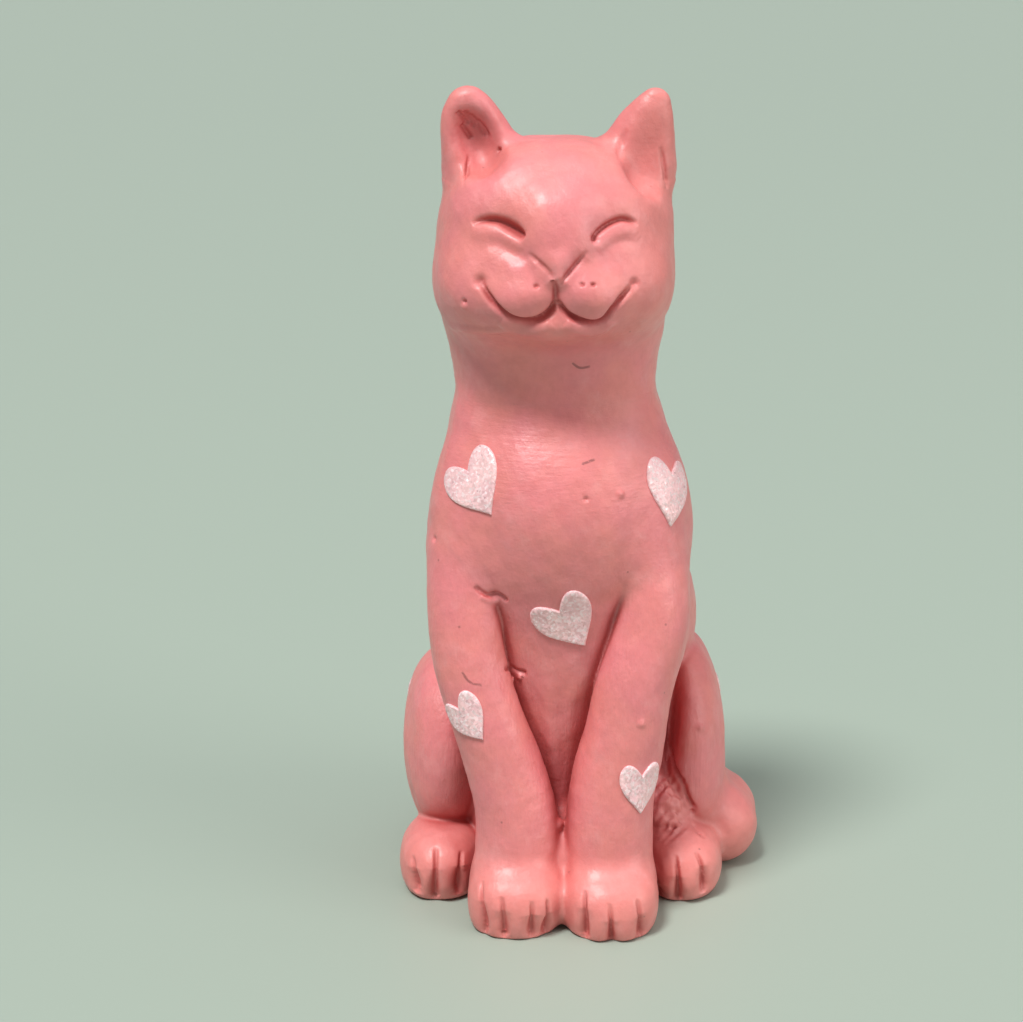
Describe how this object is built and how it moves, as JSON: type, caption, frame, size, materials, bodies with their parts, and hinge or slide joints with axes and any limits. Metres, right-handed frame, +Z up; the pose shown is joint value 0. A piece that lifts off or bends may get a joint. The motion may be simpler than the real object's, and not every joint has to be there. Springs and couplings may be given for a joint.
{
  "type": "seated cat figurine",
  "caption": "Small pink figurine of a smiling seated cat with closed eyes, upright ears, a tail curled round one side, and glittery hearts stuck on its skin.",
  "frame": {"origin": "middle of the footprint's bounding box, on the table", "axes": "+Z up, the cat faces -Y, and its own left side is +X"},
  "size_m": [0.042, 0.0448, 0.09],
  "materials": {
    "pink_skin": "satin, hand-smoothed, with faint tool marks",
    "heart_glitter": "pearly white with fine glitter flakes"
  },
  "bodies": {
    "root": {"trunk": "pink_skin", "head": "pink_skin", "left_ear": "pink_skin", "left_foreleg": "pink_skin", "left_forepaw": "pink_skin", "left_haunch": "pink_skin", "left_hind_paw": "pink_skin", "right_ear": "pink_skin", "right_foreleg": "pink_skin", "right_forepaw": "pink_skin", "right_haunch": "pink_skin", "right_hind_paw": "pink_skin", "tail": "pink_skin", "right_shoulder_heart": "heart_glitter", "left_shoulder_heart": "heart_glitter", "chest_heart": "heart_glitter", "right_foreleg_heart": "heart_glitter", "left_foreleg_heart": "heart_glitter", "upper_back_heart": "heart_glitter", "lower_back_heart": "heart_glitter", "right_haunch_heart": "heart_glitter", "left_haunch_heart": "heart_glitter"}
  },
  "joints": []
}
